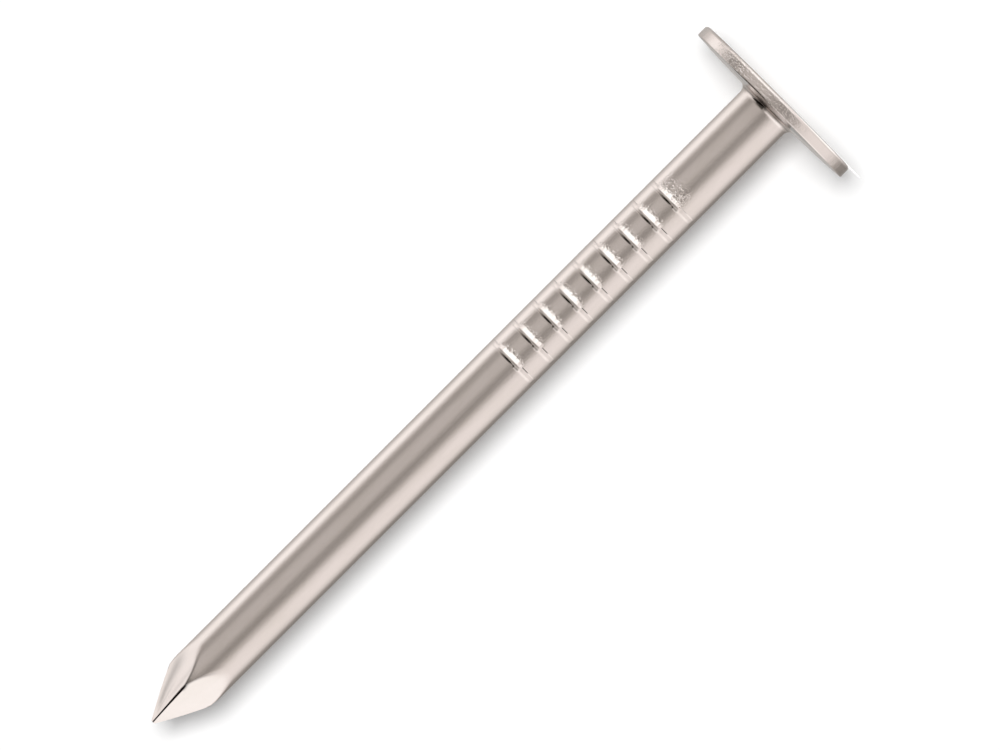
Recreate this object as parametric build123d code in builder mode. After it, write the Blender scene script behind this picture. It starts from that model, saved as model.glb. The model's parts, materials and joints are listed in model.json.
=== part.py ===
from build123d import *
from math import cos, radians, sin, sqrt
import os

# Roofing nail, formed cold from one length of drawn steel wire: upset head, gripped shank, pinched point.
# Frame: origin at the centre of the struck face of the head, +Z along the shank towards the point.
# Angles are turned about +Z from +X, so -90 degrees is the nail's front, -Y.

# Wire and overall length
wire_d = 3.05
nail_length = 44.15

# Head: a thin disc, a little thicker towards the neck
head_d = 10.07
rim_thickness = 0.64
head_thickness = 0.78
struck_edge_round = 0.19
under_edge_round = 0.08
neck_fillet = 0.40

# Gripper marks: the two holding dies squeezed the wire, and low ribs of it were left in their grooves. Each rib
# has a narrow crest at full diameter, a steep wall on the point side and a long ramp on the other
grip_count = 9
grip_start = 7.535
grip_pitch = 1.402
grip_depth = 0.09
grip_crest = 0.11
grip_wall_run = 0.08
grip_ramp_run = 0.24
grip_floor_rise = 0.012
grip_end_floor = 0.2
grip_end_run = 1.2
grip_half_span = 68
grip_angle = -76

# Diamond point: four arched faces that meet in ridges, the front one just off -Y
ridge_angle = -84
face_count = 4
face_length = 4.6
face_slope = 0.42
face_arc_radius = 27.7
tip_across_flats = 0.14

# Shoulder: the wire draws in a little where the pinching dies end
shoulder_start = 3.3
shoulder_run = 1.4
shoulder_drop = 0.22

# Pinched seam: the V left on the two ridges where the dies met
seam_length = 2.25
seam_depth_tip = 0.05
seam_depth_end = 0.12
seam_wall_slope = 0.6

# Worked out from the sizes above
wire_r = wire_d / 2
head_r = head_d / 2
tip_half = tip_across_flats / 2
clear = 0.5  # how far a cutting shape runs past the metal


def upright_plane(angle, reach=0):
    """Upright plane facing sideways: its X points out of the shank at the angle, from an origin that far out."""
    out = Vector(cos(radians(angle)), sin(radians(angle)), 0)
    return Plane(origin=out * reach, x_dir=out, z_dir=out.cross(Vector(0, 0, 1)))


def face_reach(back):
    """Distance from the shank's axis to a face of the point, a given length back from the tip."""
    return tip_half + face_slope * back - back**2 / (2 * face_arc_radius)


with BuildPart() as nail:
    # Head, neck and shank turn round one profile
    with BuildSketch(Plane.XZ):
        with BuildLine():
            struck_face = Line((0, 0), (head_r - struck_edge_round, 0))
            struck_edge = TangentArc(struck_face @ 1, (head_r, struck_edge_round), tangent=struck_face % 1)
            rim = Line(struck_edge @ 1, (head_r, rim_thickness - under_edge_round))
            under_edge = TangentArc(rim @ 1, (head_r - under_edge_round, rim_thickness), tangent=rim % 1)
            under_face = TangentArc((wire_r + neck_fillet, head_thickness), under_edge @ 1, tangent=(1, 0))
            neck = TangentArc(under_face @ 0, (wire_r, head_thickness + neck_fillet), tangent=(-1, 0))
            shank = Line(neck @ 1, (wire_r, nail_length - shoulder_start))
            shoulder_end = (wire_r - shoulder_drop, nail_length - shoulder_start + shoulder_run)
            shoulder = TangentArc(shank @ 1, shoulder_end, tangent=shank % 1)
            Polyline(shoulder @ 1, (wire_r - shoulder_drop, nail_length), (0, nail_length), (0, 0))
        make_face()
    revolve(axis=Axis.Z)

    # Gripper marks: each die squeezes deepest on its own side and runs out round the shank, so it turns about an
    # axis set back behind the shank's own. It leaves valleys between the ribs, and fades out past the end ones
    die_setback = grip_depth / (1 - cos(radians(grip_half_span)))
    floor_reach = wire_r - grip_depth + die_setback
    overcut = 1.3
    outer_reach = floor_reach + overcut * grip_depth
    for die_angle in (grip_angle, grip_angle + 180):
        die_plane = upright_plane(die_angle, -die_setback)
        with BuildSketch(die_plane):
            for valley in range(grip_count + 1):
                crest_below = grip_start + (valley - 1) * grip_pitch
                floor_low = crest_below + grip_crest / 2 + grip_wall_run
                floor_high = crest_below + grip_pitch - grip_crest / 2 - grip_ramp_run
                low_run = grip_wall_run
                high_run = grip_ramp_run
                if valley == 0:
                    floor_low = floor_high - grip_end_floor
                    low_run = grip_end_run
                if valley == grip_count:
                    floor_high = floor_low + grip_end_floor
                    high_run = grip_end_run
                with BuildLine():
                    Polyline(
                        (floor_reach + grip_floor_rise, floor_low),
                        (floor_reach, floor_high),
                        (outer_reach, floor_high + overcut * high_run),
                        (outer_reach, floor_low - overcut * low_run),
                        close=True,
                    )
                make_face()
        revolve(axis=Axis(die_plane.origin, (0, 0, 1)), mode=Mode.SUBTRACT)

    # Diamond point: four arched faces, square to each other
    for face in range(face_count):
        face_angle = ridge_angle + (face + 0.5) * 360 / face_count
        with BuildSketch(upright_plane(face_angle)):
            with BuildLine():
                arch = ThreePointArc(
                    (face_reach(0), nail_length),
                    (face_reach(face_length / 2), nail_length - face_length / 2),
                    (face_reach(face_length), nail_length - face_length),
                )
                Polyline(
                    arch @ 1,
                    (wire_r + clear, nail_length - face_length),
                    (wire_r + clear, nail_length + clear),
                    (face_reach(0), nail_length + clear),
                    arch @ 0,
                )
            make_face()
        extrude(amount=wire_r + clear, both=True, mode=Mode.SUBTRACT)

    # Pinched seam: a V that widens from the tip back along the front and back ridges
    for seam_angle in (ridge_angle, ridge_angle + 180):
        for back, depth in ((0, seam_depth_tip), (seam_length, seam_depth_end)):
            ridge_reach = sqrt(2) * face_reach(back)
            seam_plane = Plane.XY.offset(nail_length - back).rotated((0, 0, seam_angle))
            mouth = seam_wall_slope * (depth + clear)
            with BuildSketch(seam_plane):
                with BuildLine():
                    Polyline(
                        (ridge_reach - depth, 0),
                        (ridge_reach + clear, mouth),
                        (ridge_reach + clear, -mouth),
                        close=True,
                    )
                make_face()
        loft(ruled=True, mode=Mode.SUBTRACT)

nail.part.label = "nail"
os.makedirs("parts", exist_ok=True)
export_step(nail.part, "parts/nail.step")
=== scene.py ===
import json
from math import cos, pi, radians, sin, sqrt, tan
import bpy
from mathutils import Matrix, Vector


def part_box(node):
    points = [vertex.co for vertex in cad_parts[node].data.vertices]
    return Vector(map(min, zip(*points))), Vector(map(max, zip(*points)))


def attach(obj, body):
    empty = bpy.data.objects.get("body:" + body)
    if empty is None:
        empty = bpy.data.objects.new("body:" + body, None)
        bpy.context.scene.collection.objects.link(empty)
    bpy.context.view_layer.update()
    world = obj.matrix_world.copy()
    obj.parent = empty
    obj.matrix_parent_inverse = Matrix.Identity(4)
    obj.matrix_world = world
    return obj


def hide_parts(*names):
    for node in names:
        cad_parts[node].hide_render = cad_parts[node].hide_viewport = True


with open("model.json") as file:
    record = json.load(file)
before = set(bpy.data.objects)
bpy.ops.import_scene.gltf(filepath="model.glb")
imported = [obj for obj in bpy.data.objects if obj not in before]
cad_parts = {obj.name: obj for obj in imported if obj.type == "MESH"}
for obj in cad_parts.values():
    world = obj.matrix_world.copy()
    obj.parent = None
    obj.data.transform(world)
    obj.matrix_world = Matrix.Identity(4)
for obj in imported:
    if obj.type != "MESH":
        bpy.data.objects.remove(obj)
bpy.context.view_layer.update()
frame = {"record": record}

from types import SimpleNamespace

import bpy
import numpy as np
from bpy.props import FloatProperty, FloatVectorProperty, IntProperty, PointerProperty
from mathutils import Matrix, Vector

bl_info = {
    "name": "Roofing nail",
    "version": (1, 0, 0),
    "blender": (4, 5, 0),
    "location": "3D View > Sidebar > Roofing nail",
    "description": "Builds a bright steel roofing nail and the small white stage it stands on",
    "category": "Add Mesh",
}

# Places are in metres, in the CAD frame: the nail stands on its struck face at z = 0, with its point up.
# A turn is an angle round the shank, from 0 at the front, -Y, towards -X.
NAIL_LOW, NAIL_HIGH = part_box("nail")
MOUNTS = {mount["name"]: mount for mount in frame["record"]["mounts"]}
WIRE_RADIUS = MOUNTS["shank"]["dims"]["r_mm"] / 1000
HEAD_RADIUS = (NAIL_HIGH.x - NAIL_LOW.x) / 2
NAIL_LENGTH = NAIL_HIGH.z
MM = 0.001


def mm(*lengths):
    """Lengths in metres, given in millimetres."""
    return tuple(length * MM for length in lengths)


class NailHeadSettings(bpy.types.PropertyGroup):
    """Sizes of the upset head."""

    rim_thickness: FloatProperty(
        name="Rim thickness", description="Thickness of the head at its rim",
        default=0.669 * MM, unit="LENGTH",
    )
    neck_thickness: FloatProperty(
        name="Neck thickness", description="Thickness of the head beside the neck",
        default=0.78 * MM, unit="LENGTH",
    )
    struck_edge: FloatProperty(
        name="Struck edge", description="Rounding of the rim on the struck side",
        default=0.19 * MM, unit="LENGTH",
    )
    under_edge: FloatProperty(
        name="Under edge", description="Height of the small bevel of the rim on the shank side",
        default=0.06 * MM, unit="LENGTH",
    )
    under_bevel: FloatProperty(
        name="Under bevel", description="Slope of that bevel from upright",
        default=radians(22), subtype="ANGLE",
    )
    neck_fillet: FloatProperty(
        name="Neck fillet", description="Radius between head and shank", default=0.4 * MM, unit="LENGTH"
    )
    rim_dimples: FloatProperty(
        name="Rim dimples", description="Depth of the orange peel on the free rim",
        default=0.006 * MM, unit="LENGTH",
    )


class GripSettings(bpy.types.PropertyGroup):
    """Sizes of the gripper marks, which are low ribs."""

    count: IntProperty(name="Marks", description="Marks in each row", default=9)
    start: FloatProperty(
        name="First mark", description="Height of the crest of the mark nearest the head",
        default=7.535 * MM, unit="LENGTH",
    )
    pitch: FloatProperty(
        name="Pitch", description="Distance from mark to mark", default=1.402 * MM, unit="LENGTH"
    )
    rise: FloatProperty(
        name="Rise", description="Height of a mark over the wire",
        default=0.1 * MM, unit="LENGTH",
    )
    crest: FloatProperty(
        name="Crest", description="Width of the narrow crest of a mark", default=0.11 * MM, unit="LENGTH"
    )
    wall: FloatProperty(
        name="Wall", description="Width of the steep wall on the point side",
        default=0.08 * MM, unit="LENGTH",
    )
    ramp: FloatProperty(
        name="Ramp", description="Length of the long ramp on the head side",
        default=0.24 * MM, unit="LENGTH",
    )
    half_span: FloatProperty(
        name="Half span", description="How far round a mark reaches on each side",
        default=radians(68), subtype="ANGLE",
    )
    centre: FloatProperty(
        name="Centre", description="Turn of the front row's middle", default=radians(-14), subtype="ANGLE"
    )


class PointSettings(bpy.types.PropertyGroup):
    """Sizes of the diamond point."""

    ridge: FloatProperty(
        name="Front ridge", description="Turn of the front ridge", default=radians(-6), subtype="ANGLE"
    )
    tip_half: FloatProperty(
        name="Tip half width", description="Half width of the blunt tip", default=0.07 * MM, unit="LENGTH"
    )
    slope: FloatProperty(name="Face slope", description="Slope of the faces at the tip", default=0.42)
    face_radius: FloatProperty(
        name="Face radius", description="Radius that the faces arch to", default=27.7 * MM, unit="LENGTH"
    )
    shoulder_start: FloatProperty(
        name="Shoulder", description="Where the wire starts to draw in, back from the tip",
        default=3.3 * MM, unit="LENGTH",
    )
    shoulder_lead: FloatProperty(
        name="Shoulder lead", description="How much sooner the front and back draw in",
        default=0.27 * MM, unit="LENGTH",
    )
    shoulder_radius: FloatProperty(
        name="Shoulder radius", description="Radius of the drawn-in shoulder",
        default=4.56 * MM, unit="LENGTH",
    )
    seam_length: FloatProperty(
        name="Seam length", description="Length of the pinched seam", default=2.25 * MM, unit="LENGTH"
    )
    seam_depth: FloatProperty(
        name="Seam depth", description="Depth of the seam at its deep end",
        default=0.12 * MM, unit="LENGTH",
    )


class SteelSettings(bpy.types.PropertyGroup):
    """Colours and polish of the drawn wire, and the greys of the shade painted on it."""

    color: FloatVectorProperty(
        name="Steel", description="Colour of the bright drawn steel",
        subtype="COLOR", default=(0.80, 0.708, 0.668),
    )
    stain: FloatVectorProperty(
        name="Stain", description="Warmer tone in faint patches",
        subtype="COLOR", default=(0.74, 0.655, 0.60),
    )
    # Painted shade: a grey that darkens the metal where shade and dark reflections fall, under the head, in
    # the neck, on the struck edge and the rim, on the marks' walls and on the point
    dull_shade: FloatVectorProperty(
        name="Dull", description="Grey of thin scale", subtype="COLOR", default=(0.32, 0.295, 0.28)
    )
    # Painted shade: a near black drawn into the seam of the point, against the marks' walls, in the neck
    # and in the crease under the rim, where shade and dark reflections fall
    crevice_shade: FloatVectorProperty(
        name="Crevice", description="Colour of the dark scale in seams",
        subtype="COLOR", default=(0.02, 0.015, 0.013),
    )
    roughness: FloatProperty(name="Roughness", description="Roughness of the drawn shank", default=0.2)


class StageSettings(bpy.types.PropertyGroup):
    """Camera, lights and the white stage."""

    lens: FloatProperty(name="Lens", description="Focal length in millimetres", default=900.0)
    view_width: FloatProperty(
        name="View width", description="Width of the view at the nail",
        default=49.9 * MM, unit="LENGTH",
    )
    aim_height: FloatProperty(
        name="Aim height", description="Height that the camera looks at",
        default=19.65 * MM, unit="LENGTH",
    )
    roll: FloatProperty(
        name="Roll", description="Turn of the camera about its line of sight",
        default=radians(-135), subtype="ANGLE",
    )
    key_strength: FloatProperty(name="Key strength", description="Strength of the key light", default=2.7)
    key_size: FloatProperty(
        name="Key size", description="Apparent width of the key light",
        default=radians(15.7), subtype="ANGLE",
    )
    key_side: FloatProperty(
        name="Key side", description="Angle of the key light from the camera, towards +X",
        default=radians(6.8), subtype="ANGLE",
    )
    key_drop: FloatProperty(
        name="Key drop", description="Angle of the key light below the horizon",
        default=radians(0.7), subtype="ANGLE",
    )
    paper_light: FloatProperty(
        name="Paper light", description="Brightness of the soft light on the paper", default=0.33
    )
    floor_radius: FloatProperty(
        name="Floor radius", description="Radius of the round floor", default=5.8 * MM, unit="LENGTH"
    )
    floor_gap: FloatProperty(
        name="Floor gap", description="Hairline between the struck face and the floor",
        default=0.005 * MM, unit="LENGTH",
    )
    backdrop_gap: FloatProperty(
        name="Backdrop gap", description="Space between the head and the backdrop",
        default=0.1 * MM, unit="LENGTH",
    )
    tent_radius: FloatProperty(
        name="Tent radius", description="Radius of the light tent", default=500 * MM, unit="LENGTH"
    )


class RoofingNailSettings(bpy.types.PropertyGroup):
    """Everything that a user would change."""

    head: PointerProperty(type=NailHeadSettings)
    grip: PointerProperty(type=GripSettings)
    point: PointerProperty(type=PointSettings)
    steel: PointerProperty(type=SteelSettings)
    stage: PointerProperty(type=StageSettings)


# ---------------------------------------------------------------- nail: mesh

COLUMNS = 240  # points round each ring, a multiple of four so that each ridge of the point has its own


def smooth_step(low, high, value):
    """0 below low, 1 above high, smooth between."""
    t = np.clip((value - low) / (high - low), 0, 1)
    return t * t * (3 - 2 * t)


def fade(value, fall):
    """1 below the start of a soft fall, and 0 above its end."""
    return 1 - smooth_step(*fall, value)


def window(value, rise, fall):
    """1 between a soft rise and a soft fall, each a pair of a start and an end, and 0 outside them."""
    return smooth_step(*rise, value) * fade(value, fall)


def bell(value, centre, width):
    """1 at the centre, falling off softly on both sides."""
    return np.exp(-(((value - centre) / width) ** 2))


def line_mask(distance, half_width, soft):
    """0.5 on the edge of a line, 1 well inside it and 0 well outside."""
    return np.clip(0.5 + (half_width - distance) / (2 * soft), 0, 1)


def soft_min(a, b, blend):
    """The smaller of two surfaces, with a small rounding where they cross."""
    overlap = np.maximum(blend - np.abs(a - b), 0) / blend
    return np.minimum(a, b) - overlap**2 * blend / 4


def wrap(angle):
    """An angle brought to between -pi and pi."""
    return (angle + pi) % (2 * pi) - pi


def arc(centre, radius, start, end, count):
    """Points on a round edge of the outline, as (radius, height) pairs, its first point left out."""
    angles = np.radians(np.linspace(start, end, count + 1)[1:])
    return [(centre[0] + radius * cos(a), centre[1] + radius * sin(a)) for a in angles]


# Rings of the head: shares of its radius on the struck face, counts on its edges, and the bevel of the rim
# in shares of its own height
STRUCK_FACE_RINGS = (0.12, 0.35, 0.6, 0.8, 0.92)
STRUCK_EDGE_RINGS, RIM_RINGS, UNDER_RINGS, NECK_RINGS = 7, 12, 21, 11
BEVEL_RINGS = np.array([0.1, 0.35, 0.6, 0.85])
BEVEL_INSET = 0.75
BEVEL_ROUND = 0.05


def neck_foot(head):
    """Radius at which the neck meets the head."""
    return WIRE_RADIUS + head.neck_fillet


def head_outline(head):
    """The head from the middle of the struck face, round the rim and under it, to the top of the neck."""
    r, t, n = HEAD_RADIUS, head.rim_thickness, head.neck_thickness
    foot = neck_foot(head)
    points = [(r * share, 0) for share in STRUCK_FACE_RINGS]
    points.append((r - head.struck_edge, 0))
    points += arc((r - head.struck_edge, head.struck_edge), head.struck_edge, -90, 0, STRUCK_EDGE_RINGS)
    rim_top = t - head.under_edge
    points += [(r, z) for z in np.linspace(head.struck_edge, rim_top, RIM_RINGS + 1)[1:]]
    slope = tan(head.under_bevel)
    points += [(r - up * slope, rim_top + up) for up in BEVEL_RINGS * head.under_edge]
    edge = r - BEVEL_INSET * head.under_edge
    points.append(((points[-1][0] + edge) / 2, t - BEVEL_ROUND * head.under_edge))
    points.append((edge, t))
    for radius in np.linspace(edge, foot, UNDER_RINGS + 1)[1:]:
        points.append((radius, n - (n - t) * ((radius - foot) / (edge - foot)) ** 2))
    points += arc((foot, n + head.neck_fillet), head.neck_fillet, -90, -180, NECK_RINGS)
    return points


# Rings of the shank: heights from each crest, where they lie close together, and the stretches between
AT_MARK = MM * np.array(
    [-0.40, -0.36, -0.325, -0.295, -0.265, -0.235, -0.205, -0.175, -0.145, -0.115, -0.085, -0.055, -0.02,
     0.02, 0.055, 0.075, 0.095, 0.115, 0.135, 0.17, 0.21, 0.26]
)
BETWEEN_MARKS = MM * np.array([0.45, 0.65, 0.85])
NICKED_LOW, NICKED_HIGH, NICKED_STEP = mm(-1.65, -0.42, 0.045)  # from the first crest
LOWER_RINGS, LOWER_END = 5, -1.75 * MM  # from the neck to this far from the first crest
UPPER_RINGS, UPPER_START = 10, 0.3 * MM  # from this far past the last crest to the point
POINT_RINGS, POINT_STRETCH = 80, 4.5 * MM  # back from the tip


def shank_heights(grip, top_of_neck):
    """Heights of the rings up the shank, close together only where the surface needs them."""
    crests = [grip.start + mark * grip.pitch for mark in range(grip.count)]
    first, last = crests[0], crests[-1]
    heights = list(np.linspace(top_of_neck, first + LOWER_END, LOWER_RINGS + 1)[1:])
    heights += list(np.arange(first + NICKED_LOW, first + NICKED_HIGH, NICKED_STEP))
    for crest in crests:
        heights += list(crest + AT_MARK)
        if crest != last:
            heights += list(crest + BETWEEN_MARKS)
    point_start = NAIL_LENGTH - POINT_STRETCH
    heights += list(np.linspace(last + UPPER_START, point_start, UPPER_RINGS + 1)[:-1])
    heights += list(np.linspace(point_start, NAIL_LENGTH, POINT_RINGS))
    return np.array(heights)


# The point: lengths are back from the tip, and each pair says where a change starts and ends
SHOULDER_RUN = 1.8 * MM
EDGE_BLENDS, EDGE_SOFTENS = mm(0.03, 0.11), mm(2.5, 3.9)  # rounding where the faces meet the wire
FOLD_STRENGTHS = (0.015, 0.08, 0.05, 0.14)  # one for each face, in shares of its half breadth
FOLD_WIDTH, FOLD_SLOPE = 0.36, 0.8
FOLD_PLACES, FOLD_DRIFTS = (-0.46, 0.45), mm(0.5, 1.8)  # the first starts in the middle of the face
FOLD_RISES, FOLD_FADES = mm(0.2, 0.7), mm(2.4, 3.6)
SEAM_DEPTHS = (0.4, 1.0)  # shares of its depth at the tip and at its end
SEAM_HALVES = mm(0.031, 0.047)  # half widths at the tip and at its end
SEAM_END, SEAM_SOFT = mm(0, 0.12), 0.02 * MM  # from the seam's end
FRAY_SHADE, FRAY_HALF, FRAY_SOFT = 0.57, 0.085 * MM, 0.045 * MM
FRAY_RISES, FRAY_FADES = mm(-0.05, 0.05), mm(0.15, 0.5)  # from the seam's end


def wire_radius_at(point, turn, back):
    """Radius of the round wire, drawn in a little at the shoulder, sooner at the front and the back."""
    start = point.shoulder_start + point.shoulder_lead * np.cos(turn - point.ridge) ** 2
    run = np.clip(start - back, 0, SHOULDER_RUN)
    return WIRE_RADIUS - (point.shoulder_radius - np.sqrt(point.shoulder_radius**2 - run**2))


def face_waves(face, across, back):
    """Shallow folds that run out from the tip, where the dies dragged the metal."""
    first, second = FOLD_PLACES
    folds = 0.0
    for place in (first * smooth_step(*FOLD_DRIFTS, back), second):
        folds = folds + FOLD_WIDTH * (np.tanh((across - place) / FOLD_WIDTH) - FOLD_SLOPE * across)
    return np.choose(face, FOLD_STRENGTHS) * folds * window(back, FOLD_RISES, FOLD_FADES)


def point_surface(point, turn, back):
    """Radius of the shank and the point, and how far a face of the point would lie outside the wire."""
    run = np.minimum(back, point.shoulder_start * 2)
    breadth = point.tip_half + point.slope * run - run**2 / (2 * point.face_radius)
    side = (turn - point.ridge) % (2 * pi)
    face = np.floor(side / (pi / 2)).astype(int)
    off = side - (face + 0.5) * pi / 2
    across = np.tan(np.clip(off, -pi / 4, pi / 4))
    flat = breadth * (1 + face_waves(face, across, back)) / np.cos(off)
    wire = wire_radius_at(point, turn, back)
    sharp, soft = EDGE_BLENDS
    blend = sharp + (soft - sharp) * smooth_step(*EDGE_SOFTENS, back)
    return soft_min(wire, flat, blend), flat - wire


def seam_distance(point, turn, radius):
    """Distance round the surface to the nearer of the two pinched ridges, front or back."""
    return radius * np.abs(np.sin(wrap(turn - point.ridge)))


def cut_seam(point, turn, back, radius):
    """The V left on the front and back ridges where the pinching dies met.

    Returns the cut surface, and where shade is painted dark in the seam and, frayed, just past its end.
    """
    share = np.clip(back / point.seam_length, 0, 1)
    (shallow, deep), (narrow, wide) = SEAM_DEPTHS, SEAM_HALVES
    depth = point.seam_depth * (shallow + (deep - shallow) * share)
    half = narrow + (wide - narrow) * share
    distance = seam_distance(point, turn, radius)
    past = back - point.seam_length
    end = fade(past, SEAM_END)
    groove = depth * end * np.clip(1 - distance / half, 0, 1)
    # Painted shade: the seam is drawn near black, as it shows in shade, and frayed a little past its end
    dark = line_mask(distance, half, SEAM_SOFT) * end
    frayed = FRAY_SHADE * window(past, FRAY_RISES, FRAY_FADES) * line_mask(distance, FRAY_HALF, FRAY_SOFT)
    return radius - groove, np.maximum(dark, frayed)


# Gripper marks: turns are in degrees from the middle of a row; a pair is where a change starts and ends
FULL_RISES = (-54, -16)
TAIL_STARTS = (31, 34.5)
TAIL_RISE, TAIL_WINDOW, TAIL_DROP = 0.04 * MM, ((10, 30), (73, 82)), 0.06 * MM
LEAD_RISE, LEAD_WINDOW = 0.012 * MM, ((-66, -50), (-30, 10))
LEAN_STARTS, LEAN_WIDTH = (18.5, 21.5), 0.055 * MM
RAMP_LEAST, RAMP_GAIN, RAMP_CURVE = 0.3, 0.75, 0.8  # shares of its length, as the rib swells
RAMP_SHRINKS, RAMP_SHRINK = (20, 31), 0.25
RAMP_SHORTEST, RAMP_NEAR_HEAD = 0.03 * MM, 0.85
CHATTER_SEED, CHATTER_TURN, CHATTER_HEIGHT = 3, 1.5, 0.0015 * MM
RAGGED_SEEDS = (40, 140)  # of the first mark in each row
RAGGED_SPREAD, RAGGED_LEAST, RAGGED_CUT = 0.031 * MM, 0.3, 0.4  # the cut is the most of a ramp
NOISE_SHARE, SMOOTH_SHARE, TOOTH, TOOTH_ABOVE = 0.75, 0.5, 1.1, 0.8
NEIGHBOUR_WEIGHTS = (0.25, 0.5, 0.25)

# Painted shade on the marks, and torn metal beside them: a dark line on each steep wall, thin dark lines
# where a rib closes and runs out, and lighter shade on the leaning walls
WALL_LINE_TURN, WALL_LINE_REACH, WALL_LINE_TAPER = 4.5, 14, 0.3
WALL_LINE_HALF, WALL_LINE_SOFT, WALL_LINE_RAGGED = 0.024 * MM, 0.02 * MM, 0.06
TAIL_LINE, TAIL_LINE_WINDOW, TAIL_LINE_NEAR_HEAD = 0.64, ((30, 34), (47, 62)), 0.78
TAIL_LINE_DROP, TAIL_LINE_HALF, TAIL_LINE_SOFT = mm(0.03, 0.035, 0.025)
TOP_LINE, TOP_LINE_WINDOW = 0.56, ((-66, -58), (-40, -32))
TOP_LINE_DROP, TOP_LINE_HALF, TOP_LINE_SOFT = mm(0.145, 0.02, 0.02)
WALL_SHADE, WALL_SHADE_WINDOW, WALL_SHADE_SOFT = 0.25, ((14, 18), (28, 36)), 0.03 * MM
TORN_REACH, TORN_REACH_NEAR_HEAD, TORN_FULL = 0.24 * MM, 1.1 * MM, 0.15
TORN_STARTS, TORN_TURNS = mm(-0.02, 0.01), (24, 42)


def ragged(count, seed, spread):
    """A repeatable ragged edge round the shank: neighbours differ, but not wildly, and a few stand out."""
    noise = np.random.default_rng(seed).normal(size=count)
    smoothed = np.convolve(np.concatenate([noise[-1:], noise, noise[:1]]), NEIGHBOUR_WEIGHTS, "valid")
    return spread * (NOISE_SHARE * noise + SMOOTH_SHARE * smoothed + TOOTH * (noise > TOOTH_ABOVE))


def rib_course(grip, off, chatter):
    """How the ribs of one row change round the shank.

    A rib ends bluntly on one side, and runs on there as a shallow tail with a leaning wall.
    """
    around = np.degrees(off)
    swell = np.clip((np.cos(off) - cos(grip.half_span)) / (1 - cos(grip.half_span)), 0, 1)
    tail = smooth_step(*TAIL_STARTS, around)
    full = smooth_step(*FULL_RISES, around + CHATTER_TURN * chatter) * (1 - tail) * swell
    shallow = TAIL_RISE * window(around, *TAIL_WINDOW) + LEAD_RISE * window(around, *LEAD_WINDOW)
    ramp = RAMP_LEAST + RAMP_GAIN * full**RAMP_CURVE
    ramp = ramp * (1 - RAMP_SHRINK * smooth_step(*RAMP_SHRINKS, around))
    return SimpleNamespace(
        around=around,
        full=full,
        tail=tail,
        rise=shallow + (grip.rise - shallow) * full,
        wall=grip.wall + LEAN_WIDTH * smooth_step(*LEAN_STARTS, around),
        ramp=grip.ramp * ramp * (1 - tail),
    )


def rib_painted_shade(grip, rib, levels, height, rough, nearest):
    """Where dark shade is painted: against the wall, and in thin lines where the rib closes and runs out.
    """
    low, crest, high = levels
    bulge = np.clip(1 - ((rib.around - WALL_LINE_TURN) / WALL_LINE_REACH) ** 2, 0, 1)
    wall_half = WALL_LINE_HALF * bulge + WALL_LINE_RAGGED * rough
    wall = line_mask(np.abs(height - high - grip.wall / 2), wall_half, WALL_LINE_SOFT)
    wall = wall * bulge**WALL_LINE_TAPER
    tail = TAIL_LINE * (TAIL_LINE_NEAR_HEAD if nearest else 1) * window(rib.around, *TAIL_LINE_WINDOW)
    tail = tail * line_mask(np.abs(height - low + TAIL_LINE_DROP), TAIL_LINE_HALF, TAIL_LINE_SOFT)
    top = TOP_LINE * window(rib.around, *TOP_LINE_WINDOW)
    top = top * line_mask(np.abs(height - crest + TOP_LINE_DROP), TOP_LINE_HALF, TOP_LINE_SOFT)
    return np.maximum.reduce([wall, tail, top])


def raise_marks(grip, turn, height, radius):
    """Gripper marks: low ribs with a steep wall on the point side, a narrow crest and a long ragged ramp.

    Returns the raised surface, where dark shade is painted on it, where lighter shade is painted on the
    leaning walls, and where the metal is torn beside the ramps.
    """
    raised, dark, thin, torn = np.zeros((4, *radius.shape))
    chatter = np.random.default_rng(CHATTER_SEED).normal(size=radius.shape)
    for side in range(2):
        rib = rib_course(grip, wrap(turn - grip.centre - side * pi), chatter)
        for mark in range(grip.count):
            # The mark nearest the head has a shorter ramp, and tore the metal far beyond it
            nearest = mark == 0
            crest = grip.start + mark * grip.pitch
            low, high = crest - grip.crest / 2 - TAIL_DROP * rib.tail, crest + grip.crest / 2
            rough = ragged(turn.shape[1], RAGGED_SEEDS[side] + mark, RAGGED_SPREAD)
            rough = rough * (RAGGED_LEAST + (1 - RAGGED_LEAST) * rib.full)
            ramp = np.maximum(rib.ramp * (RAMP_NEAR_HEAD if nearest else 1), RAMP_SHORTEST)
            ramp = ramp + np.maximum(rough * (1 - rib.tail), -RAGGED_CUT * ramp)
            ramp_side = np.clip(1 - (low - height) / ramp, 0, 1)
            wall_side = np.clip(1 - (height - high) / rib.wall, 0, 1)
            raised += rib.rise * np.minimum(ramp_side, wall_side)
            raised += CHATTER_HEIGHT * chatter * ((ramp_side > 0) & (ramp_side < 1)) * rib.full

            # Painted shade: dark lines against the wall, and where the rib closes and runs out
            dark = np.maximum(dark, rib_painted_shade(grip, rib, (low, crest, high), height, rough, nearest))
            # Painted shade: a lighter grey on the leaning walls, which tones down what they reflect
            wall_end = high + rib.wall
            on_wall = window(height, (high - WALL_SHADE_SOFT, high), (wall_end, wall_end + WALL_SHADE_SOFT))
            thin = np.maximum(thin, WALL_SHADE * on_wall * window(rib.around, *WALL_SHADE_WINDOW))

            reach = TORN_REACH_NEAR_HEAD if nearest else TORN_REACH
            spread = window(low - ramp - height, TORN_STARTS, (TORN_FULL * reach, reach))
            torn = np.maximum(torn, spread * fade(np.abs(rib.around), TORN_TURNS))
    return radius + raised, dark, thin, torn


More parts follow.
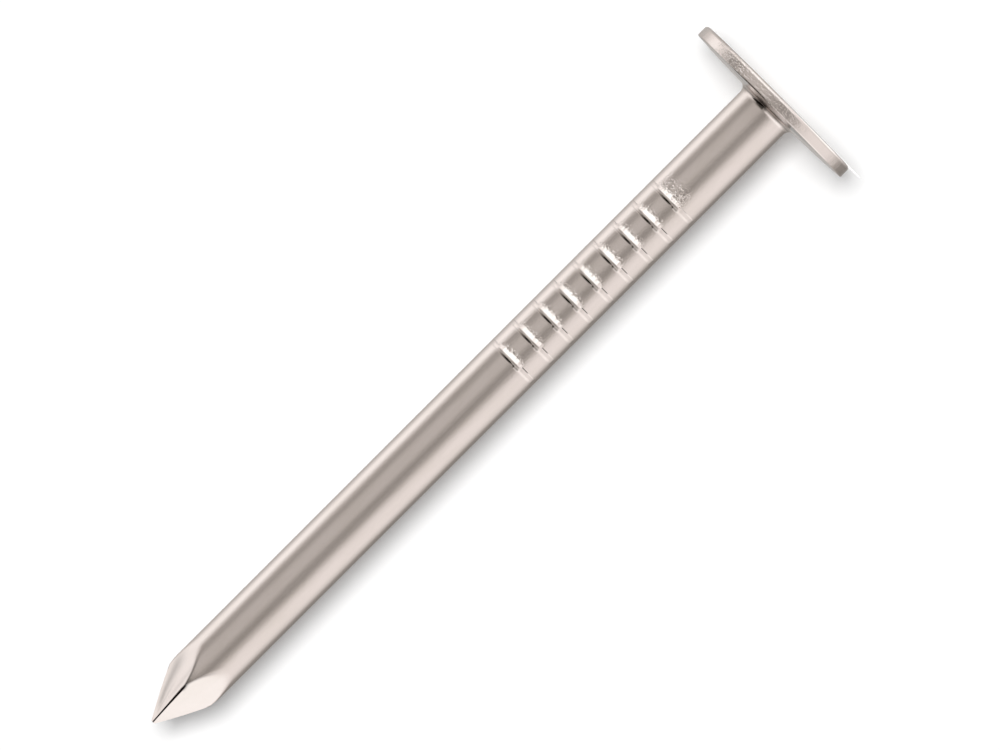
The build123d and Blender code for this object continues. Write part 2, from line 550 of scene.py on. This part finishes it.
# Nicks in the torn metal, and orange peel and pits on the rim
NICK_SEED, NICK_DEPTH = 7, 0.010 * MM
NICK_ABOVE, NICK_LEAST, NICK_MOST, NICK_QUIET = 1.2, -2.2, 1.8, 0.1
PEEL_SEED, PEEL_WAVES, PEEL_COUNTS, PEEL_CLIMB = 21, 60, (8, 70), 9 / MM
PATCH_LEVEL, PATCH_SWING, PATCH_WAVES = 0.55, 0.45, ((2, 0.8), (5, 0))  # waves round the rim, and phases
PEEL_INSET, PIT_INSET = mm(-0.25, -0.1), mm(-0.3, -0.15)  # where each starts, from the rim
PIT_LEAST = 0.11
# How much more the rim is pitted in each patch, and the turns in degrees where that rises and falls
PIT_PATCHES = ((0.2, (-58, -48), (12, 24)), (0.36, (-56, -46), (-26, -20)), (0.25, (110, 125), (150, 165)))


def nick_shank(torn, radius):
    """Small random nicks and burrs where the metal is torn."""
    noise = np.random.default_rng(NICK_SEED).normal(size=radius.shape)
    lively = np.where(np.abs(noise) > NICK_ABOVE, np.clip(noise, NICK_LEAST, NICK_MOST), NICK_QUIET * noise)
    return radius - NICK_DEPTH * torn * lively


def near_rim(radius, inset):
    """0 well inside the rim and 1 on it; the inset says where the change starts and ends."""
    return smooth_step(HEAD_RADIUS + inset[0], HEAD_RADIUS + inset[1], radius)


def dimple_rim(head, turn, height, radius):
    """Orange peel on the rim, which was upset in free air."""
    rng = np.random.default_rng(PEEL_SEED)
    peel = np.zeros_like(radius)
    for _ in range(PEEL_WAVES):
        waves = rng.integers(*PEEL_COUNTS)
        climb = rng.uniform(-PEEL_CLIMB, PEEL_CLIMB)
        peel += np.sin(waves * turn + climb * height + rng.uniform(0, 2 * pi))
    peel *= head.rim_dimples / sqrt(PEEL_WAVES)
    coarse, fine = (np.sin(waves * turn + phase) for waves, phase in PATCH_WAVES)
    patch = PATCH_LEVEL + PATCH_SWING * coarse * fine
    return radius - near_rim(radius, PEEL_INSET) * np.clip(peel * patch + head.rim_dimples / 2, 0, None)


def rim_pits(turn, radius):
    """Where the rim is pitted, most of all on one side of the front."""
    around = np.degrees(wrap(turn))
    share = PIT_LEAST + sum(more * window(around, rise, fall) for more, rise, fall in PIT_PATCHES)
    return share * near_rim(radius, PIT_INSET)


# Streaks of painted shade down one face of the point, where the dies dragged the metal: strength, place and
# width across the face in shares of the half breadth, and where each rises and fades, back from the tip
FROM_TIP, NO_FADE = mm(-1, 0), mm(9, 10)
STREAKS = (
    (0.56, -0.42, 0.34, FROM_TIP, mm(2.8, 4.0)),
    (0.22, 0.12, 0.12, FROM_TIP, mm(1.6, 2.6)),
    (0.2, 0.6, 0.14, mm(1.2, 2.2), NO_FADE),
)
STREAKS_RISE, STREAKED_FACE = mm(0.4, 1.2), 3


def point_streaks(point, turn, back, over_wire):
    """Streaks of painted shade on one face, where it lies inside the wire."""
    side = (turn - point.ridge) % (2 * pi)
    across = np.tan(np.clip(side - (STREAKED_FACE + 0.5) * pi / 2, -pi / 4, pi / 4))
    streaks = sum(
        strength * bell(across, place, width) * window(back, rise, fall)
        for strength, place, width, rise, fall in STREAKS
    )
    on_face = (side > STREAKED_FACE * pi / 2) * (over_wire < 0)
    return streaks * on_face * smooth_step(*STREAKS_RISE, back)


# Painted shade on the point: lengths from the seam's end, from the ridge, or from the tip
PAST_SEAM = mm(-0.15, 0.05)
RIDGE_FADES = mm(0.15, 0.9)
EDGE_SHADE, EDGE_PLACE, EDGE_WIDTH = 0.75, 0.015 * MM, 0.04 * MM
APEX_FADES = mm(2.5, 3.0)
STUB_PLACE, STUB_WIDTH, STUB_FADES = 0.03 * MM, 0.08 * MM, mm(0.1, 0.45)


def point_painted_shade(point, turn, back, radius, over_wire):
    """Painted shade where the faces run out, just past the seam, and in streaks on one face."""
    past = back - point.seam_length
    by_ridge = fade(seam_distance(point, turn, radius), RIDGE_FADES)
    by_ridge = by_ridge * smooth_step(*PAST_SEAM, past)
    edge = by_ridge * bell(over_wire, EDGE_PLACE, EDGE_WIDTH)
    apex = by_ridge * (over_wire > 0) * fade(back, APEX_FADES)
    beside = radius * np.sin(wrap(turn - point.ridge)) * np.sign(np.cos(turn - point.ridge))
    stub = bell(beside, STUB_PLACE, STUB_WIDTH) * window(past, PAST_SEAM, STUB_FADES)
    streaks = point_streaks(point, turn, back, over_wire)
    return np.clip(EDGE_SHADE * np.maximum(edge, apex) + streaks + stub, 0, 1)


# Painted shade on the head: turns are in degrees from the front, and each pair says where a change starts
# and ends
NECK_START = 0.98  # share of the head's thickness at which the neck starts
SPOT_TURN, SPOT_REACH, SPOT_TAPER = -17, 20, 0.8
SPOT_HEIGHT, SPOT_TILT, SPOT_RIPPLE = mm(0.932, 0.0022, 0.006)  # the tilt is for each degree
SPOT_HALF, SPOT_SOFT = mm(0.06, 0.04)
SPOT_WAVES = ((31, 0), (53, 1))  # waves round the neck, and the phase of each
CREASE_SHADE, CREASE_WINDOW = 0.6, ((-36, -29), (-11, -8))
CREASE_INSET, CREASE_DROP, CREASE_HALF, CREASE_SOFT = mm(0.04, 0.005, 0.035, 0.03)
BY_SPOT_LESS, BY_SPOT_WINDOW = 0.62, ((-36, -28), (0, 10))
UNDER_TURNS, UNDER_CLIMB, UNDER_REACH = (25, 45), mm(0.02, 0.08), mm(2.6, 3.1)
OUTER_SHADE, OUTER_DROP, OUTER_TURNS, OUTER_INSET = 0.55, 0.004 * MM, (2, 8), mm(-0.4, -0.2)
NECK_SHADE, NECK_HEIGHT, NECK_WIDTH, NECK_TURNS = 0.6, 0.9 * MM, 0.035 * MM, (12, 22)
STRUCK_SHADE, STRUCK_CHANGES = 0.25, ((0.25, (-35, -10)), (0.45, (5, 25)), (-0.65, (38, 50)))
STRUCK_HEIGHT = mm(0.015, 0.06)
STRUCK_HAZE, STRUCK_HAZE_HEIGHT = 0.1, mm(0.12, 0.16)
RIM_PATCH, RIM_TURN, RIM_WIDTH = 0.3, -35, 7
RIM_HAZE, RIM_HAZE_WINDOW, RIM_INSET = 0.13, ((4, 10), (18, 24)), 0.06 * MM


def in_neck(head, height, radius):
    """Whether a place is in the fillet between head and shank."""
    return (radius < neck_foot(head)) & (height > NECK_START * head.neck_thickness)


def head_crevice_shade(head, turn, height, radius):
    """Dark painted shade: a tapered spot in the neck, and a crease along the under edge of the rim."""
    around = np.degrees(wrap(turn))
    ripple = sum(np.sin(waves * turn + phase) for waves, phase in SPOT_WAVES)
    taper = np.clip(1 - np.abs((around - SPOT_TURN) / SPOT_REACH), 0, 1) ** SPOT_TAPER
    middle = SPOT_HEIGHT - SPOT_TILT * (around - SPOT_TURN) + SPOT_RIPPLE * ripple
    spot = line_mask(np.abs(height - middle), SPOT_HALF * taper, SPOT_SOFT)
    spot = spot * in_neck(head, height, radius) * (taper > 0)
    inside, above = radius - HEAD_RADIUS + CREASE_INSET, height - head.rim_thickness + CREASE_DROP
    from_crease = np.hypot(inside, above)
    crease = CREASE_SHADE * line_mask(from_crease, CREASE_HALF, CREASE_SOFT)
    return np.maximum(spot, crease * window(around, *CREASE_WINDOW))


def head_dull_shade(head, turn, height, radius):
    """Grey painted shade: under the head, in the neck, on the struck edge and on the rim."""
    around = np.degrees(wrap(turn))
    from_front = np.abs(around)

    # Under the head in front, and less of it beside the dark spot
    under = (height > head.rim_thickness) & (radius < HEAD_RADIUS - head.under_edge)
    under = under * (1 - BY_SPOT_LESS * window(around, *BY_SPOT_WINDOW))
    under = under * fade(from_front, UNDER_TURNS)
    under = under * fade(height - head.neck_thickness, UNDER_CLIMB)
    under = under * fade(radius - neck_foot(head), UNDER_REACH)
    outer = OUTER_SHADE * (height > head.rim_thickness - OUTER_DROP) * near_rim(radius, OUTER_INSET)
    outer = outer * fade(around, OUTER_TURNS)
    neck = NECK_SHADE * in_neck(head, height, radius) * bell(height, NECK_HEIGHT, NECK_WIDTH)
    neck = neck * smooth_step(*NECK_TURNS, from_front)

    # The struck edge, and the rim itself
    strength = STRUCK_SHADE + sum(more * smooth_step(*turns, around) for more, turns in STRUCK_CHANGES)
    edge = strength * fade(height, STRUCK_HEIGHT)
    haze = STRUCK_HAZE * fade(height, STRUCK_HAZE_HEIGHT)
    struck = (radius > HEAD_RADIUS - head.struck_edge) * np.maximum(edge, haze)
    rim = RIM_PATCH * bell(around, RIM_TURN, RIM_WIDTH) + RIM_HAZE * window(around, *RIM_HAZE_WINDOW)
    rim = rim * (radius > HEAD_RADIUS - RIM_INSET) * (height > head.struck_edge)
    return np.maximum.reduce([under, outer, neck, struck, rim])


def nail_surface(settings):
    """Turn, radius and height of the whole surface, as rings by columns, and the masks of its finish and
    painted shade.
    """
    head, grip, point = settings.head, settings.grip, settings.point
    outline = head_outline(head)
    heights = shank_heights(grip, outline[-1][1])
    ring_radius = np.array([r for r, z in outline] + [WIRE_RADIUS] * len(heights))
    ring_height = np.array([z for r, z in outline] + list(heights))
    shape = (len(ring_radius), COLUMNS)
    turn = np.broadcast_to(point.ridge + 2 * pi * np.arange(COLUMNS) / COLUMNS, shape)
    height = np.broadcast_to(ring_height[:, None], shape)
    radius = np.broadcast_to(ring_radius[:, None], shape).copy()
    # The crevice and dull masks are painted shade, dark and grey, where shade and dark reflections fall
    crevice_shade, dull_shade, pitted = np.zeros((3, *shape))

    on_head, on_shank = slice(None, len(outline)), slice(len(outline), None)
    around, up = turn[on_head], height[on_head]
    surface = dimple_rim(head, around, up, radius[on_head])
    radius[on_head] = surface
    crevice_shade[on_head] = head_crevice_shade(head, around, up, surface)
    dull_shade[on_head] = head_dull_shade(head, around, up, surface)
    pitted[on_head] = rim_pits(around, surface)

    around, up = turn[on_shank], height[on_shank]
    back = NAIL_LENGTH - up
    surface, over_wire = point_surface(point, around, back)
    surface, seam_shade = cut_seam(point, around, back, surface)
    surface, mark_shade, mark_wall_shade, torn = raise_marks(grip, around, up, surface)
    radius[on_shank] = nick_shank(torn, surface)
    crevice_shade[on_shank] = np.maximum(seam_shade, mark_shade)
    dull_shade[on_shank] = np.maximum(mark_wall_shade, point_painted_shade(point, around, back, surface, over_wire))
    pitted[on_shank] = torn
    return turn, radius, height, {"crevice_shade": crevice_shade, "dull_shade": dull_shade, "pitted": pitted}


def ring_faces(ring_count):
    """Quads between neighbouring rings, and a fan at each end."""
    faces = []
    for ring in range(ring_count - 1):
        low, high = 1 + ring * COLUMNS, 1 + (ring + 1) * COLUMNS
        for column in range(COLUMNS):
            after = (column + 1) % COLUMNS
            faces.append((low + column, high + column, high + after, low + after))
    last = 1 + (ring_count - 1) * COLUMNS
    top = last + COLUMNS
    for column in range(COLUMNS):
        after = (column + 1) % COLUMNS
        faces.append((0, 1 + column, 1 + after))
        faces.append((top, last + after, last + column))
    return faces


SHARP_STRETCH = 2.5 * MM  # how far back from the tip the ridges are sharp


def mark_ridges(mesh, ring_height):
    """Makes the four ridges of the point and the edge of its blunt end sharp."""
    ring_count = len(ring_height)
    ends = np.zeros(len(mesh.edges) * 2, int)
    mesh.edges.foreach_get("vertices", ends)
    low, high = np.sort(ends.reshape(-1, 2), axis=1).T
    ring, column = np.divmod(low - 1, COLUMNS)
    up_a_ridge = (high - low == COLUMNS) & (column % (COLUMNS // 4) == 0)
    on_point = ring_height[np.clip(ring, 0, ring_count - 1)] > NAIL_LENGTH - SHARP_STRETCH
    round_the_end = (ring == ring_count - 1) & (high <= ring_count * COLUMNS)
    sharp = mesh.attributes.get("sharp_edge") or mesh.attributes.new("sharp_edge", "BOOLEAN", "EDGE")
    sharp.data.foreach_set("value", (up_a_ridge & on_point) | round_the_end)


def build_nail_mesh(settings):
    """The nail's mesh, with the masks that its finish and painted shade read."""
    turn, radius, height, masks = nail_surface(settings)
    grid = np.stack([-radius * np.sin(turn), -radius * np.cos(turn), height], axis=-1).reshape(-1, 3)
    vertices = np.vstack([[0, 0, 0], grid, [0, 0, NAIL_LENGTH]])
    mesh = bpy.data.meshes.new("roofing_nail")
    mesh.from_pydata(vertices.tolist(), [], ring_faces(turn.shape[0]))
    for name, values in masks.items():
        padded = np.concatenate([values[0, :1], values.ravel(), values[-1, :1]])
        mesh.attributes.new(name, "FLOAT", "POINT").data.foreach_set("value", padded.astype(np.float32))
    mesh.shade_smooth()
    mark_ridges(mesh, height[:, 0])
    mesh.validate()
    return mesh


# ---------------------------------------------------------------- nail: finish

# Grains per metre along each axis: draw lines are squeezed across the wire and stretched along it
DRAW_GRAINS = (14000, 14000, 120)
PATCH_GRAINS = (900, 900, 260)
SURFACE_GRAINS = (10000, 10000, 7500)
PIT_GRAINS = (9000, 9000, 9000)
STAIN_LEVELS, STAIN_MOST = (0.45, 0.75), 0.6
CREVICE_LEVELS, CREVICE_ROUGHNESS = (0.35, 0.62), 0.6
DRAW_LEVELS, DRAW_ROUGHNESS = (0.3, 0.7), (-0.03, 0.05)  # the latter on top of the wire's own roughness
PIT_LEVELS = (0.48, 0.72)
DRAW_BUMP, GRAIN_BUMP = (0.3, 0.004 * MM), (0.7, 0.006 * MM)  # strength and depth
PIT_DEPTH = 0.02 * MM
MIX_SOCKETS = {"FLOAT": (0, 2, 3, 0), "RGBA": (0, 6, 7, 2)}  # share, first, second and result


def node(tree, kind, inputs=(), **settings):
    """A shader node with its settings, and its inputs by name or number, each plain or from a node."""
    made = tree.nodes.new(kind)
    for name, value in settings.items():
        setattr(made, name, value)
    for name, value in dict(inputs).items():
        if isinstance(value, bpy.types.NodeSocket):
            tree.links.new(value, made.inputs[name])
        else:
            made.inputs[name].default_value = value
    return made


def mix(tree, kind, share, first, second):
    """From the first value or colour to the second, by the share."""
    factor, start, end, result = MIX_SOCKETS[kind]
    inputs = {factor: share, start: first, end: second}
    return node(tree, "ShaderNodeMix", inputs, data_type=kind).outputs[result]


def remap(tree, value, levels, low=0, high=1, curve="LINEAR"):
    """A value moved from between two levels to between low and high."""
    inputs = {"Value": value, "From Min": levels[0], "From Max": levels[1], "To Min": low, "To Max": high}
    return node(tree, "ShaderNodeMapRange", inputs, interpolation_type=curve).outputs["Result"]


def metal_noise(tree, place, grains, **inputs):
    """Noise in the metal, from 0 to 1."""
    mapped = node(tree, "ShaderNodeMapping", {"Vector": place, "Scale": grains}).outputs["Vector"]
    return node(tree, "ShaderNodeTexNoise", {"Vector": mapped, "Scale": 1.0, **inputs}).outputs["Fac"]


def bump(tree, height, strength, depth, under=(), **settings):
    """The normal of a relief, over another one if that is given."""
    inputs = {"Height": height, "Strength": strength, "Distance": depth, **dict(under)}
    return node(tree, "ShaderNodeBump", inputs, **settings).outputs["Normal"]


def steel_material(steel):
    """Bright drawn steel: faint draw lines up the shank, pits on the rim, and painted shade, grey in places
    and dark in the creases.
    """
    material = bpy.data.materials.new("bright_steel")
    material.use_nodes = True
    tree = material.node_tree
    shader = tree.nodes["Principled BSDF"]
    shader.inputs["Metallic"].default_value = 1.0
    place = node(tree, "ShaderNodeTexCoord").outputs["Object"]
    crevice_shade, dull_shade, pitted = (
        node(tree, "ShaderNodeAttribute", attribute_name=name).outputs["Fac"]
        for name in ("crevice_shade", "dull_shade", "pitted")
    )
    draw = metal_noise(tree, place, DRAW_GRAINS, Detail=3.0)
    patch = metal_noise(tree, place, PATCH_GRAINS, Detail=4.0, Roughness=0.6)
    grain = metal_noise(tree, place, SURFACE_GRAINS, Detail=1.0, Roughness=0.5)
    pits = metal_noise(tree, place, PIT_GRAINS, Detail=1.0, Roughness=0.5)
    in_crevice_shade = remap(tree, crevice_shade, CREVICE_LEVELS, curve="SMOOTHSTEP")

    # Colour: warmer patches, then grey painted shade, then dark painted shade
    stained = remap(tree, patch, STAIN_LEVELS, high=STAIN_MOST)
    color = mix(tree, "RGBA", stained, (*steel.color, 1), (*steel.stain, 1))
    color = mix(tree, "RGBA", dull_shade, color, (*steel.dull_shade, 1))
    color = mix(tree, "RGBA", in_crevice_shade, color, (*steel.crevice_shade, 1))

    # Polish
    smoothest, roughest = (steel.roughness + more for more in DRAW_ROUGHNESS)
    polish = remap(tree, draw, DRAW_LEVELS, smoothest, roughest)
    roughness = mix(tree, "FLOAT", in_crevice_shade, polish, CREVICE_ROUGHNESS)

    # Relief
    pit_edges = remap(tree, pits, PIT_LEVELS, curve="SMOOTHSTEP")
    relief = bump(tree, draw, *DRAW_BUMP)
    relief = bump(tree, grain, *GRAIN_BUMP, {"Normal": relief})
    relief = bump(tree, pit_edges, pitted, PIT_DEPTH, {"Normal": relief}, invert=True)

    for name, output in (("Base Color", color), ("Roughness", roughness), ("Normal", relief)):
        tree.links.new(output, shader.inputs[name])
    return material


class ROOFINGNAIL_OT_nail(bpy.types.Operator):
    """Build the nail: head, shank, gripper marks and diamond point in one mesh"""

    bl_idname = "roofing_nail.nail"
    bl_label = "Nail"

    def execute(self, context):
        settings = context.scene.roofing_nail
        nail = bpy.data.objects.new("roofing_nail", build_nail_mesh(settings))
        context.scene.collection.objects.link(nail)
        nail.data.materials.append(steel_material(settings.steel))
        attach(nail, "root")
        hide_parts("nail")
        return {"FINISHED"}


# ---------------------------------------------------------------- stage

# Brightness of the light tent: for each ring its angle above the horizon, then pairs of a turn and a level.
# The band level with the nail has bright strips on both sides, and is grey in front and behind.
TENT_BAND = (
    (-180, 0.58), (-158, 0.52), (-143, 0.60), (-133, 0.74), (-122, 1.02), (-112, 1.16), (-102, 1.16),
    (-96, 1.08), (-91, 0.92), (-86, 0.72), (-81, 0.56), (-76, 0.44), (-71, 0.37), (-62, 0.38), (-54, 0.46),
    (-46, 0.55), (-38, 0.575), (-14, 0.57), (-7, 0.48), (0, 0.385), (8, 0.315), (12, 0.305), (19, 0.36),
    (27, 0.44), (34, 0.60), (42, 0.80), (51, 0.91), (63, 0.975), (90, 0.975), (98, 0.93), (104, 0.86),
    (110, 0.78), (117, 0.63), (124, 0.43), (133, 0.28), (143, 0.28), (157, 0.24), (180, 0.58),
)
TENT_RINGS = (
    (-90, ((0, 0.9),)),
    (-60, ((-180, 0.4), (-105, 0.8), (-85, 0.95), (-66, 1.0), (-45, 1.1), (25, 1.1), (60, 1.2), (115, 1.7),
           (150, 1.7), (168, 0.9), (180, 0.4))),
    (-40, ((-180, 0.4), (-112, 0.6), (-102, 0.85), (-90, 1.25), (-72, 1.55), (-40, 1.6), (12, 1.6),
           (24, 1.3), (45, 0.86), (70, 0.88), (90, 1.2), (115, 1.5), (138, 1.5), (158, 0.8), (180, 0.4))),
    (-20, ((-180, 0.5), (-110, 0.85), (-95, 1.05), (-80, 1.05), (-66, 0.9), (-40, 1.05), (-10, 1.0),
           (20, 0.9), (45, 0.9), (60, 0.9), (90, 0.85), (115, 0.75), (130, 0.55), (148, 0.5), (180, 0.5))),
    (-8, TENT_BAND),
    (8, TENT_BAND),
    (20, ((-180, 0.38), (-146, 0.5), (-130, 0.62), (-119, 1.02), (-109, 1.12), (-92, 1.0), (-75, 0.55),
          (-60, 0.42), (0, 0.38), (20, 0.46), (40, 0.88), (60, 1.05), (88, 1.2), (105, 1.1), (120, 0.7),
          (135, 0.45), (180, 0.38))),
    (32, ((-180, 0.38), (-146, 0.5), (-130, 0.62), (-119, 1.02), (-109, 1.12), (-92, 1.1), (-76, 0.75),
          (-50, 0.38), (-38, 0.1), (-12, 0.1), (-2, 0.3), (16, 0.85), (40, 1.15), (70, 1.2), (88, 1.24),
          (105, 1.1), (120, 0.7), (135, 0.45), (180, 0.38))),
    (42, ((-180, 0.38), (-130, 0.6), (-109, 1.0), (-88, 0.95), (-66, 0.45), (-50, 0.04), (-12, 0.04),
          (-1, 0.5), (9, 1.15), (60, 1.2), (88, 1.2), (120, 0.8), (180, 0.38))),
    (50, ((-180, 0.46), (-130, 0.38), (-105, 0.6), (-84, 0.5), (-60, 0.03), (-10, 0.03), (0, 0.4),
          (10, 0.65), (60, 0.7), (100, 0.6), (180, 0.46))),
    (58, ((-180, 0.5), (-130, 0.3), (-92, 0.26), (-68, 0.03), (-8, 0.03), (2, 0.45), (12, 0.6), (60, 0.55),
          (100, 0.4), (130, 0.35), (180, 0.5))),
    (72, ((-180, 0.22), (-130, 0.1), (-96, 0.1), (-78, 0.02), (-4, 0.02), (8, 0.45), (80, 0.4), (110, 0.15),
          (180, 0.22))),
    (90, ((0, 0.05),)),
)
TENT_COLUMNS, TENT_ROWS = 180, 90
WARM_POWERS, COOL_POWERS = (1.015, 1.06), (1.17, 1.2)  # of the level, for green and blue, below and from 1


def tent_color(turn, rise):
    """Colour of the light tent by the turn from the front and the angle above the horizon.

    Its greys are a little warm, and its brightest parts a little cool.
    """
    levels = [np.interp(turn, *zip(*band)) for ring, band in TENT_RINGS]
    level = float(np.interp(rise, [ring for ring, band in TENT_RINGS], levels))
    green, blue = WARM_POWERS if level < 1 else COOL_POWERS
    return level, level**green, level**blue, 1.0


def blank_material(name):
    """A material with an empty node tree, and that tree."""
    material = bpy.data.materials.new(name)
    material.use_nodes = True
    material.node_tree.nodes.clear()
    return material, material.node_tree


def hide_from(thing, *rays):
    """Keeps an object out of the sight of some kinds of ray."""
    for ray in rays:
        setattr(thing, "visible_" + ray, False)


def glowing_material(name, attribute):
    """A light whose colour is stored on the mesh."""
    material, tree = blank_material(name)
    material.cycles.emission_sampling = "NONE"
    color = node(tree, "ShaderNodeAttribute", attribute_name=attribute).outputs["Color"]
    glow = node(tree, "ShaderNodeEmission", {"Color": color}).outputs["Emission"]
    node(tree, "ShaderNodeOutputMaterial", {"Surface": glow})
    return material


def build_tent(stage):
    """A round light tent about the nail, which only metal and glass see."""
    across, up = TENT_COLUMNS, TENT_ROWS
    centre = Vector((0, 0, stage.aim_height))
    vertices, colors = [], []
    for ring in range(up + 1):
        rise = -90 + 180 * ring / up
        for column in range(across):
            turn = -180 + 360 * column / across
            out = cos(radians(rise))
            direction = Vector((-out * sin(radians(turn)), -out * cos(radians(turn)), sin(radians(rise))))
            vertices.append(centre + stage.tent_radius * direction)
            colors += tent_color(turn, rise)
    faces = []
    for low in range(0, up * across, across):
        for column in range(across):
            after = (column + 1) % across
            faces.append((low + column, low + after, low + across + after, low + across + column))
    mesh = bpy.data.meshes.new("light_tent")
    mesh.from_pydata(vertices, [], faces)
    mesh.attributes.new("glow", "FLOAT_COLOR", "POINT").data.foreach_set("color", colors)
    mesh.materials.append(glowing_material("light_tent", "glow"))
    tent = bpy.data.objects.new("light_tent", mesh)
    hide_from(tent, "camera", "diffuse", "shadow")
    return tent


def seen_directly(tree, unseen, seen):
    """A value for rays from the camera, or by way of metal or glass, and another for light on the paper."""
    rays = node(tree, "ShaderNodeLightPath").outputs
    direct = rays["Is Camera Ray"]
    for ray in ("Is Glossy Ray", "Is Transmission Ray"):
        direct = node(tree, "ShaderNodeMath", {0: direct, 1: rays[ray]}, operation="MAXIMUM").outputs[0]
    return remap(tree, direct, (0, 1), unseen, seen)


PAPER_SHADE = 0.8


def paper_material(name, lift):
    """White paper seen from its front only, lifted towards white where it is seen."""
    material, tree = blank_material(name)
    color = (PAPER_SHADE, PAPER_SHADE, PAPER_SHADE, 1)
    paper = node(tree, "ShaderNodeBsdfDiffuse", {"Color": color}).outputs["BSDF"]
    glow = node(tree, "ShaderNodeEmission", {"Strength": seen_directly(tree, 0, lift)}).outputs["Emission"]
    front = node(tree, "ShaderNodeAddShader", {0: paper, 1: glow}).outputs["Shader"]
    clear = node(tree, "ShaderNodeBsdfTransparent").outputs["BSDF"]
    behind = node(tree, "ShaderNodeNewGeometry").outputs["Backfacing"]
    sheet = node(tree, "ShaderNodeMixShader", {0: behind, 1: front, 2: clear}).outputs["Shader"]
    node(tree, "ShaderNodeOutputMaterial", {"Surface": sheet})
    return material


FLOOR_SIDES, FLOOR_LIFT = 96, 0.68
SHEET_HALF, SHEET_LOW, SHEET_HIGH, SHEET_LIFT = 45 * MM, -25 * MM, 65 * MM, 0.09


def build_floor(stage):
    """A round white floor, facing up, a hairline under the struck face."""
    mesh = bpy.data.meshes.new("floor")
    turns = np.linspace(0, 2 * pi, FLOOR_SIDES + 1)[:-1]
    rim = [(stage.floor_radius * cos(a), stage.floor_radius * sin(a), -stage.floor_gap) for a in turns]
    mesh.from_pydata(rim, [], [tuple(range(len(rim)))])
    mesh.materials.append(paper_material("floor_paper", FLOOR_LIFT))
    floor = bpy.data.objects.new("floor", mesh)
    hide_from(floor, "diffuse", "glossy", "shadow")
    return floor


def build_backdrop(stage):
    """A white sheet close behind the nail, facing the front, which takes its soft shadow."""
    behind = HEAD_RADIUS + stage.backdrop_gap
    low, high = SHEET_LOW, SHEET_HIGH
    sides = ((-SHEET_HALF, low), (SHEET_HALF, low), (SHEET_HALF, high), (-SHEET_HALF, high))
    corners = [(across, behind, up) for across, up in sides]
    mesh = bpy.data.meshes.new("backdrop")
    mesh.from_pydata(corners, [], [(0, 1, 2, 3)])
    mesh.materials.append(paper_material("backdrop_paper", SHEET_LIFT))
    backdrop = bpy.data.objects.new("backdrop", mesh)
    hide_from(backdrop, "glossy")
    return backdrop


def build_key(stage):
    """A broad soft light from beside the camera, which leaves no highlight on the metal."""
    light = bpy.data.lights.new("key", "SUN")
    light.energy = stage.key_strength
    light.angle = stage.key_size
    key = bpy.data.objects.new("key", light)
    towards = Vector((sin(stage.key_side), -cos(stage.key_side), -sin(stage.key_drop)))
    key.rotation_euler = towards.to_track_quat("Z", "Y").to_euler()
    hide_from(key, "glossy")
    return key


def build_world(stage):
    """A white background, dimmer as a light on the paper."""
    world = bpy.data.worlds.new("white")
    world.use_nodes = True
    tree = world.node_tree
    background = tree.nodes["Background"]
    background.inputs["Color"].default_value = (1, 1, 1, 1)
    tree.links.new(seen_directly(tree, stage.paper_light, 1), background.inputs["Strength"])
    return world


SENSOR_WIDTH = 36.0  # millimetres, as the lens
SIGHT_REACH = 3  # how far the camera sees, in distances from it to the nail


def build_camera(stage):
    """A long lens level with the middle of the nail, rolled so that the point is at the lower left."""
    data = bpy.data.cameras.new("camera")
    data.lens = stage.lens
    data.sensor_width = SENSOR_WIDTH
    distance = stage.view_width * data.lens / data.sensor_width
    data.clip_end = SIGHT_REACH * distance
    camera = bpy.data.objects.new("camera", data)
    back, tip = Vector((0, -1, 0)), Vector((0, 0, 1))
    side = tip.cross(back)
    up = tip * cos(stage.roll) - side * sin(stage.roll)
    right = up.cross(back)
    camera.matrix_world = Matrix((right, up, back)).transposed().to_4x4()
    camera.location = back * distance + tip * stage.aim_height
    return camera


class ROOFINGNAIL_OT_stage(bpy.types.Operator):
    """Build the floor, backdrop, light tent, key light and camera"""

    bl_idname = "roofing_nail.stage"
    bl_label = "Stage"

    def execute(self, context):
        stage = context.scene.roofing_nail.stage
        link_object = context.scene.collection.objects.link
        for made in (build_floor(stage), build_backdrop(stage), build_tent(stage)):
            link_object(made)
        link_object(build_key(stage))
        camera = build_camera(stage)
        link_object(camera)
        context.scene.camera = camera
        context.scene.world = build_world(stage)
        context.scene.view_settings.view_transform = "Standard"
        return {"FINISHED"}


class ROOFINGNAIL_PT_panel(bpy.types.Panel):
    """Buttons and settings for the nail and its stage"""

    bl_idname = "ROOFINGNAIL_PT_panel"
    bl_label = "Roofing nail"
    bl_space_type = "VIEW_3D"
    bl_region_type = "UI"
    bl_category = "Roofing nail"

    def draw(self, context):
        layout = self.layout
        settings = context.scene.roofing_nail
        for operator, groups in (
            (ROOFINGNAIL_OT_nail, (settings.head, settings.grip, settings.point, settings.steel)),
            (ROOFINGNAIL_OT_stage, (settings.stage,)),
        ):
            layout.operator(operator.bl_idname)
            for group in groups:
                box = layout.box()
                for name in group.__annotations__:
                    box.prop(group, name)


CLASSES = (
    NailHeadSettings,
    GripSettings,
    PointSettings,
    SteelSettings,
    StageSettings,
    RoofingNailSettings,
    ROOFINGNAIL_OT_nail,
    ROOFINGNAIL_OT_stage,
    ROOFINGNAIL_PT_panel,
)


def register():
    for cls in CLASSES:
        bpy.utils.register_class(cls)
    bpy.types.Scene.roofing_nail = PointerProperty(type=RoofingNailSettings)


def unregister():
    del bpy.types.Scene.roofing_nail
    for cls in reversed(CLASSES):
        bpy.utils.unregister_class(cls)


def main():
    """Builds the nail and its stage."""
    register()
    bpy.ops.roofing_nail.nail()
    bpy.ops.roofing_nail.stage()


if __name__ == "__main__":
    main()
